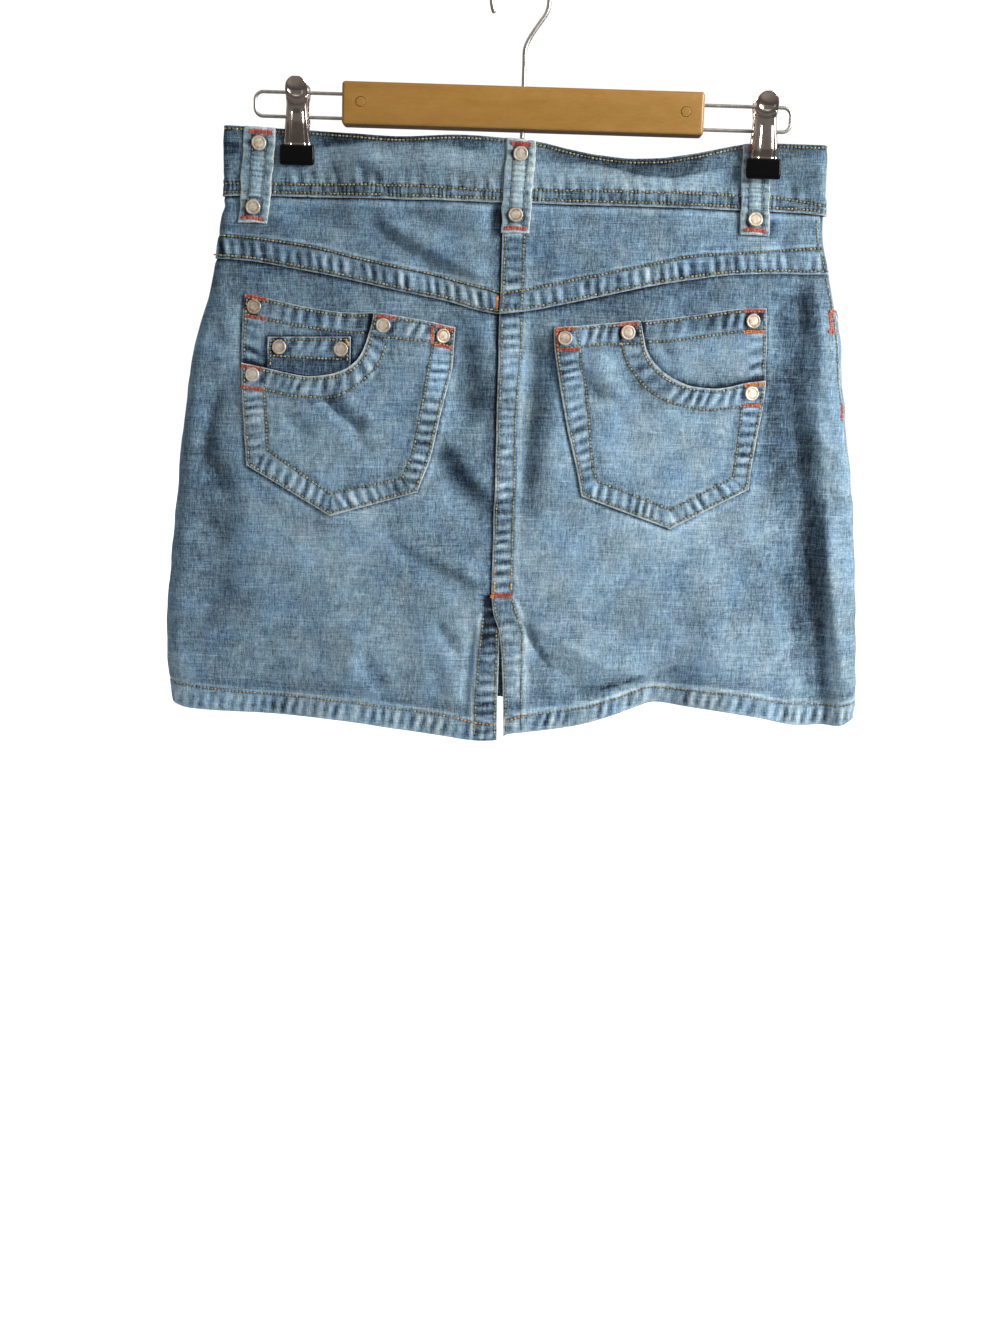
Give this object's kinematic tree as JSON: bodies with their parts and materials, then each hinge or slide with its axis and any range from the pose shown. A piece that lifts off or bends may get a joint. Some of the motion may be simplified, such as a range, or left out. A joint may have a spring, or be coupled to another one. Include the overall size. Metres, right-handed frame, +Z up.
{
  "type": "denim skirt on a clip hanger",
  "caption": "Short straight denim skirt with scooped patch pockets, riveted belt loops and a back vent, held by its waistband on a wooden hanger with metal clips.",
  "frame": {"origin": "inside top of the hanger's hook, where a rail holds it up", "axes": "+Z up, +Y towards the skirt's front, -Y towards its back, +X towards the wearer's right"},
  "size_m": [0.4648, 0.0733, 0.4866],
  "materials": {
    "denim": "washed light blue stretch denim, slubby cross-hatched twill, worn pale at the edges",
    "rivet_metal": "dull silver with pressed rings",
    "bar_wood": "golden brown, satin varnish",
    "chrome": "bright plated steel",
    "clip_pad": "glossy black dipped vinyl"
  },
  "bodies": {
    "root": {"back_panel_left": "denim", "back_panel_right": "denim", "back_pocket_left": "denim", "back_pocket_right": "denim", "back_yoke_left": "denim", "back_yoke_right": "denim", "bar_plug_left": "bar_wood", "bar_plug_right": "bar_wood", "belt_loop_back_centre": "denim", "belt_loop_back_left": "denim", "belt_loop_back_right": "denim", "belt_loop_front_left": "denim", "belt_loop_front_right": "denim", "clip_lever_left_back": "chrome", "clip_lever_left_front": "chrome", "clip_lever_right_back": "chrome", "clip_lever_right_front": "chrome", "clip_pad_left_back": "clip_pad", "clip_pad_left_front": "clip_pad", "clip_pad_right_back": "clip_pad", "clip_pad_right_front": "clip_pad", "clip_spring_left": "chrome", "clip_spring_right": "chrome", "coin_pocket": "denim", "front_panel_left": "denim", "front_panel_right": "denim", "front_pocket_facing_left": "denim", "front_pocket_facing_right": "denim", "hanger_bar": "bar_wood", "hanger_hook": "chrome", "hanger_wire_left": "chrome", "hanger_wire_right": "chrome", "pocket_facing_left": "denim", "pocket_facing_right": "denim", "rivet_front_left_foot": "rivet_metal", "rivet_front_left_top": "rivet_metal", "rivet_front_right_foot": "rivet_metal", "rivet_front_right_top": "rivet_metal", "rivet_loop_centre_foot": "rivet_metal", "rivet_loop_centre_top": "rivet_metal", "rivet_loop_left_foot": "rivet_metal", "rivet_loop_left_top": "rivet_metal", "rivet_loop_right_foot": "rivet_metal", "rivet_loop_right_top": "rivet_metal", "rivet_pocket_left_corner": "rivet_metal", "rivet_pocket_left_inner": "rivet_metal", "rivet_pocket_left_mouth": "rivet_metal", "rivet_pocket_left_outer": "rivet_metal", "rivet_pocket_right_corner": "rivet_metal", "rivet_pocket_right_inner": "rivet_metal", "rivet_pocket_right_mouth": "rivet_metal", "rivet_pocket_right_outer": "rivet_metal", "rivet_tab_inner": "rivet_metal", "rivet_tab_outer": "rivet_metal", "waist_button": "rivet_metal", "waistband_back": "denim", "waistband_front_left": "denim", "waistband_front_right": "denim"}
  },
  "joints": []
}
